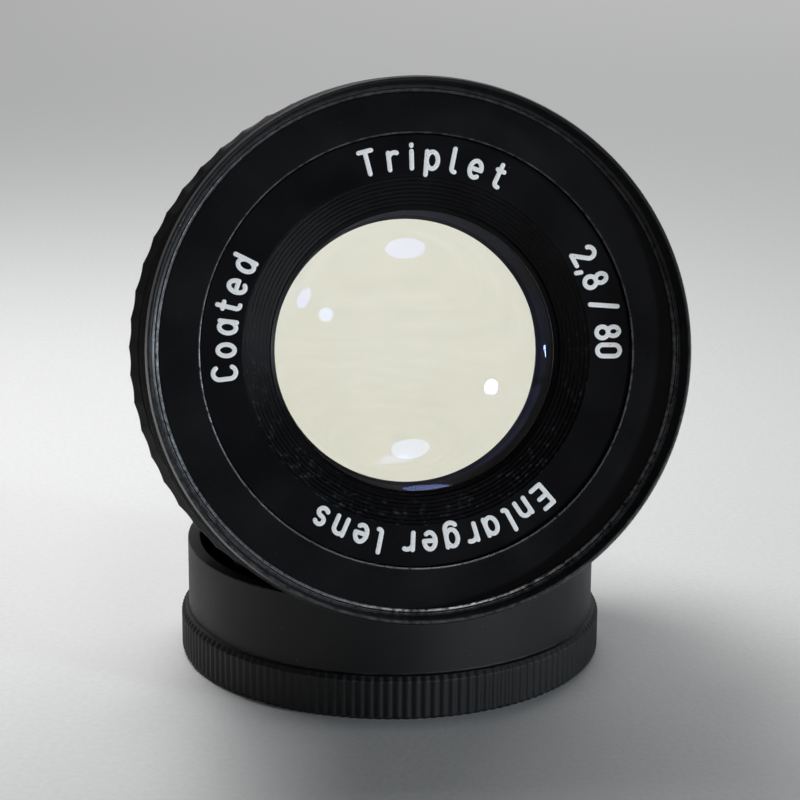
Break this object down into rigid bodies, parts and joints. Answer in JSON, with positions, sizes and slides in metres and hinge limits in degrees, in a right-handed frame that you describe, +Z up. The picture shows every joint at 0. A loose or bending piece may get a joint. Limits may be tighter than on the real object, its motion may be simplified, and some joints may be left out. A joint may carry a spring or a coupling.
{
  "type": "enlarger lens",
  "caption": "Black turned-metal enlarger lens with scalloped grip, aperture ring, iris, glass elements and a threaded rear mount, leaning on its open rear cap.",
  "frame": {"origin": "centre of the upturned rear cap's underside, on the table", "axes": "+Z up; the lens looks towards -Y and 14.5 degrees upwards; +X is to the right of someone who looks into the lens from the front"},
  "size_m": [0.0592, 0.0648, 0.0697],
  "materials": {
    "cap_plastic": "matte moulded black plastic",
    "satin_black": "satin black anodised",
    "gloss_black": "gloss black enamel",
    "name_black": "black with white filled lettering",
    "ring_black": "gloss black, turned and cut with a grip",
    "cell_black": "matt black anti-reflection paint",
    "coated_glass": "polished, blue single coating",
    "iris_black": "blackened spring steel",
    "brass": "bare turned brass",
    "steel": "plain steel",
    "white_paint": "white paint"
  },
  "bodies": {
    "cap": {"rear_cap": "cap_plastic"},
    "lens": {"barrel": "satin_black", "grip_ring": "ring_black", "front_bezel": "gloss_black", "front_trim_ring": "gloss_black", "name_ring": "name_black", "mount_flange": "satin_black", "mount_screw_1": "steel", "mount_screw_2": "steel", "mount_screw_3": "steel", "index_dot": "white_paint", "front_cell": "cell_black", "front_lock_ring": "cell_black", "front_element": "coated_glass", "middle_element": "coated_glass", "rear_element": "coated_glass", "rear_cell": "cell_black", "spacer_ring": "cell_black", "rear_lock_ring": "cell_black", "click_ball": "steel", "click_spring": "steel", "iris_base_plate": "iris_black", "iris_snap_ring": "steel"},
    "aperture_ring": {"aperture_ring": "ring_black", "drive_screw": "brass", "iris_cam_ring": "brass"},
    "blade_1": {"iris_blade_1": "iris_black"},
    "blade_2": {"iris_blade_2": "iris_black"},
    "blade_3": {"iris_blade_3": "iris_black"},
    "blade_4": {"iris_blade_4": "iris_black"},
    "blade_5": {"iris_blade_5": "iris_black"},
    "blade_6": {"iris_blade_6": "iris_black"},
    "blade_7": {"iris_blade_7": "iris_black"},
    "blade_8": {"iris_blade_8": "iris_black"}
  },
  "joints": [
    {"name": "lens_lift", "type": "slide", "parent": "cap", "child": "lens", "axis": [0, 0, 1], "range_m": [0, 0.06]},
    {"name": "aperture", "type": "hinge", "parent": "lens", "child": "aperture_ring", "pos_m": [0, -0.031, 0.0431], "axis": [0, -0.9681, 0.2504], "range_deg": [0, 40]},
    {"name": "blade_1_swing", "type": "hinge", "parent": "lens", "child": "blade_1", "pos_m": [0.0206, -0.01725, 0.03954], "axis": [0, -0.9681, 0.2504], "range_deg": [0, 29.6]},
    {"name": "blade_2_swing", "type": "hinge", "parent": "lens", "child": "blade_2", "pos_m": [0.01457, -0.01361, 0.05365], "axis": [0, -0.9681, 0.2504], "range_deg": [0, 29.6]},
    {"name": "blade_3_swing", "type": "hinge", "parent": "lens", "child": "blade_3", "pos_m": [0, -0.01209, 0.05949], "axis": [0, -0.9681, 0.2504], "range_deg": [0, 29.6]},
    {"name": "blade_4_swing", "type": "hinge", "parent": "lens", "child": "blade_4", "pos_m": [-0.01457, -0.01361, 0.05365], "axis": [0, -0.9681, 0.2504], "range_deg": [0, 29.6]},
    {"name": "blade_5_swing", "type": "hinge", "parent": "lens", "child": "blade_5", "pos_m": [-0.0206, -0.01725, 0.03954], "axis": [0, -0.9681, 0.2504], "range_deg": [0, 29.6]},
    {"name": "blade_6_swing", "type": "hinge", "parent": "lens", "child": "blade_6", "pos_m": [-0.01457, -0.0209, 0.02544], "axis": [0, -0.9681, 0.2504], "range_deg": [0, 29.6]},
    {"name": "blade_7_swing", "type": "hinge", "parent": "lens", "child": "blade_7", "pos_m": [0, -0.02241, 0.0196], "axis": [0, -0.9681, 0.2504], "range_deg": [0, 29.6]},
    {"name": "blade_8_swing", "type": "hinge", "parent": "lens", "child": "blade_8", "pos_m": [0.01457, -0.0209, 0.02544], "axis": [0, -0.9681, 0.2504], "range_deg": [0, 29.6]}
  ],
  "couplings": [
    {"joint": "blade_1_swing", "follows": "aperture", "ratio": 0.74},
    {"joint": "blade_2_swing", "follows": "aperture", "ratio": 0.74},
    {"joint": "blade_3_swing", "follows": "aperture", "ratio": 0.74},
    {"joint": "blade_4_swing", "follows": "aperture", "ratio": 0.74},
    {"joint": "blade_5_swing", "follows": "aperture", "ratio": 0.74},
    {"joint": "blade_6_swing", "follows": "aperture", "ratio": 0.74},
    {"joint": "blade_7_swing", "follows": "aperture", "ratio": 0.74},
    {"joint": "blade_8_swing", "follows": "aperture", "ratio": 0.74}
  ]
}
